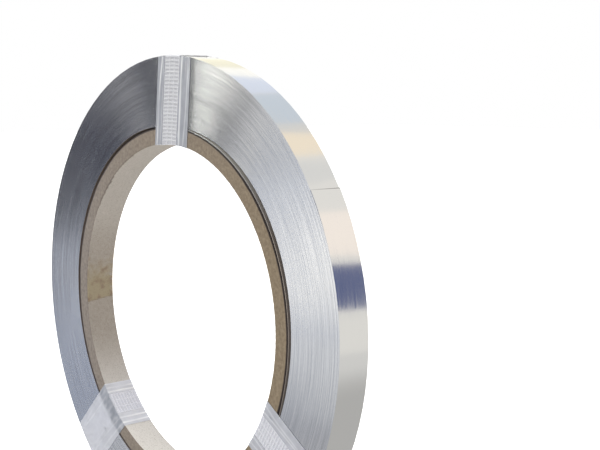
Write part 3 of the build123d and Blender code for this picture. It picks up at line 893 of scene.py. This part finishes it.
# Lamps and boards stand round the coil as in a studio, out of the camera's sight. Each has its bearing round
# the coil from behind, height angle, distance, width, height (m), roll, brightness and colour. The lamps, the
# first five boards and the floor's shade are not set by hand: a separate fitting script solved them so that
# the steel repeats the photograph's light. The last four boards stand where the rim reflects them
studio = {
    "softBoxes": {
        "low front": (197.7, -10.9, 0.45, 2.6, 0.41, 71, 0.41, "#fffdee"),
        "front": (197.6, -6.2, 1.35, 2.24, 0.53, -8, 0.97, "#fff6de"),
        "high left strip": (258.5, 43.3, 0.88, 0.07, 1.68, -30.5, 0.79, "#fffdf6"),
        "left back": (302.4, 18.6, 2.25, 2.2, 1.59, 13, 0.43, "#ffe580"),
        "small left": (229.3, 16, 1.0, 0.06, 0.16, -11, 5.6, "#fffdf0"),
        "right back": (32.5, 13.8, 1.83, 2.37, 0.49, 42.6, 0.25, "#ffcda6"),
        "high left": (248.9, 45.4, 1.63, 0.9, 0.72, -83, 5.15, "#fdfff1"),
        "blue back": (309.8, 23.3, 1.09, 1.3, 0.96, 27.5, 0.29, "#3c9cff"),
        "high right": (48.8, 21.7, 0.87, 2.04, 1.1, 74, 0.15, "#fff6e3"),
    },
    "boards": {
        "low left": (237.2, -27.4, 0.46, 0.46, 0.54, -11.7, 0.6, "#e8efff"),
        "right": (62.2, 13.8, 1.71, 0.98, 0.41, 28, 0.27, "#4c87ff"),
        "upper left": (241.9, 28, 1.91, 1.65, 1.06, 30.5, 0.06, "#9090ff"),
        "left": (247.6, -11.3, 1.16, 1.05, 1.52, -17.3, 0.04, "#b0b0ff"),
        "front": (146.7, 21.6, 1.08, 1.4, 1.68, -54, 0.66, "#a4c6ff"),
        "cream back": (311, 29.5, 1.5, 0.36, 0.34, 0, 1.2, "#fff3c4"),
        "pale blue back": (350, 53, 1.5, 0.42, 0.2, 0, 1.08, "#e6f1ff"),
        "cream right": (19.5, 52.3, 1.5, 0.25, 0.2, 0, 1.2, "#fff1dc"),
        "grey right": (34.5, 45.5, 1.5, 0.22, 0.18, 0, 0.93, "#fafcff"),
    },
    "floorSize": 24.0,
    "floorWhite": 0.68,
    "openFloor": 0.96,
    "shadedFloor": 0.66,
    "shadeCentre": (-0.35, 0.28, 0.0),
    "shadeFrom": 0.78,
    "shadeTo": 1.03,
}


def aimed(bearing, height, distance, roll):
    # Where a lamp stands round the coil's centre, and its turn to face it
    across = cos(radians(height))
    way = Vector((sin(radians(bearing)) * across, cos(radians(bearing)) * across, sin(radians(height))))
    turn = (-way).to_track_quat("-Z", "Y") @ Quaternion((0, 0, 1), radians(-roll))
    return way * distance + Vector((0, 0, centreHeight * mm)), turn.to_euler()


def flatSheet(name, wide, tall, paintwork):
    x, y = wide / 2, tall / 2
    mesh = bpy.data.meshes.new(name)
    mesh.from_pydata([(-x, -y, 0), (x, -y, 0), (x, y, 0), (-x, y, 0)], [], [(0, 1, 2, 3)])
    mesh.materials.append(paintwork)
    sheet = bpy.data.objects.new(name, mesh)
    scene.collection.objects.link(sheet)
    return sheet


for label, (bearing, height, distance, wide, tall, roll, brightness, tint) in studio["softBoxes"].items():
    lamp = bpy.data.lights.new(label + " soft box", "AREA")
    lamp.shape = "RECTANGLE"
    lamp.size, lamp.size_y = wide, tall
    lamp.energy = brightness * pi * wide * tall
    lamp.color = paint(tint)[:3]
    box = bpy.data.objects.new(label + " soft box", lamp)
    box.location, box.rotation_euler = aimed(bearing, height, distance, roll)
    box.visible_camera = False
    scene.collection.objects.link(box)

for label, (bearing, height, distance, wide, tall, roll, brightness, tint) in studio["boards"].items():
    boardPaint, tree, shader = newMaterial(
        label + " studio board",
        {"Base Color": (0, 0, 0, 1), "Roughness": 1.0, "Specular IOR Level": 0.0,
         "Emission Color": paint(tint), "Emission Strength": brightness},
    )
    # Only rays that the steel mirrors look for a board, which leaves less grain
    boardPaint.cycles.emission_sampling = "NONE"
    board = flatSheet(label + " board", wide, tall, boardPaint)
    board.location, board.rotation_euler = aimed(bearing, height, distance, roll)
    board.visible_camera = board.visible_diffuse = False

# Pale painted floor: white to the camera, and a little darker in the steel where the coil shades it
floorPaint, tree, shader = newMaterial(
    "pale studio floor", {"Base Color": paint("#f0f0f0"), "Roughness": 0.8, "Emission Color": (1, 1, 1, 1)}
)
place = addNode(tree, "ShaderNodeTexCoord").outputs["Object"]
distance = addNode(tree, "ShaderNodeVectorMath", {"operation": "DISTANCE"},
                   {0: place, 1: studio["shadeCentre"]})
pale = addNode(tree, "ShaderNodeMapRange", {"interpolation_type": "SMOOTHSTEP"}, {
    "Value": distance.outputs["Value"], "From Min": studio["shadeFrom"], "From Max": studio["shadeTo"],
    "To Min": studio["shadedFloor"], "To Max": studio["openFloor"]})
rays = addNode(tree, "ShaderNodeLightPath").outputs
tree.links.new(addNode(tree, "ShaderNodeMath", {"operation": "MULTIPLY"}, {
    0: rays["Is Camera Ray"], 1: studio["floorWhite"]}).outputs[0], shader.inputs["Emission Strength"])
inSteel = addNode(tree, "ShaderNodeMath", {"operation": "MAXIMUM"},
                  {0: rays["Is Glossy Ray"], 1: rays["Is Transmission Ray"]})
mirrored = addNode(tree, "ShaderNodeEmission", None, {"Strength": pale.outputs[0]})
shownFloor = addNode(tree, "ShaderNodeMixShader", None,
                     {0: inSteel.outputs[0], 1: shader.outputs[0], 2: mirrored.outputs[0]})
output = next(node for node in tree.nodes if node.type == "OUTPUT_MATERIAL")
tree.links.new(shownFloor.outputs[0], output.inputs[0])
floor = flatSheet("floor", studio["floorSize"], studio["floorSize"], floorPaint)

world = bpy.data.worlds.new("studio")
scene.world = world
world.use_nodes = True
tree = world.node_tree
background = tree.nodes["Background"]
background.inputs["Color"].default_value = (1, 1, 1, 1)
rays = addNode(tree, "ShaderNodeLightPath").outputs
seen = addNode(tree, "ShaderNodeMath", {"operation": "MAXIMUM"},
               {0: rays["Is Camera Ray"], 1: rays["Is Glossy Ray"]})
shown = addNode(tree, "ShaderNodeMath", {"operation": "MAXIMUM"},
                {0: seen.outputs[0], 1: rays["Is Transmission Ray"]})
level = addNode(tree, "ShaderNodeMapRange", None, {"Value": shown.outputs[0], "To Min": 0.78, "To Max": 1.0})
tree.links.new(level.outputs[0], background.inputs["Strength"])
print("studio lit")
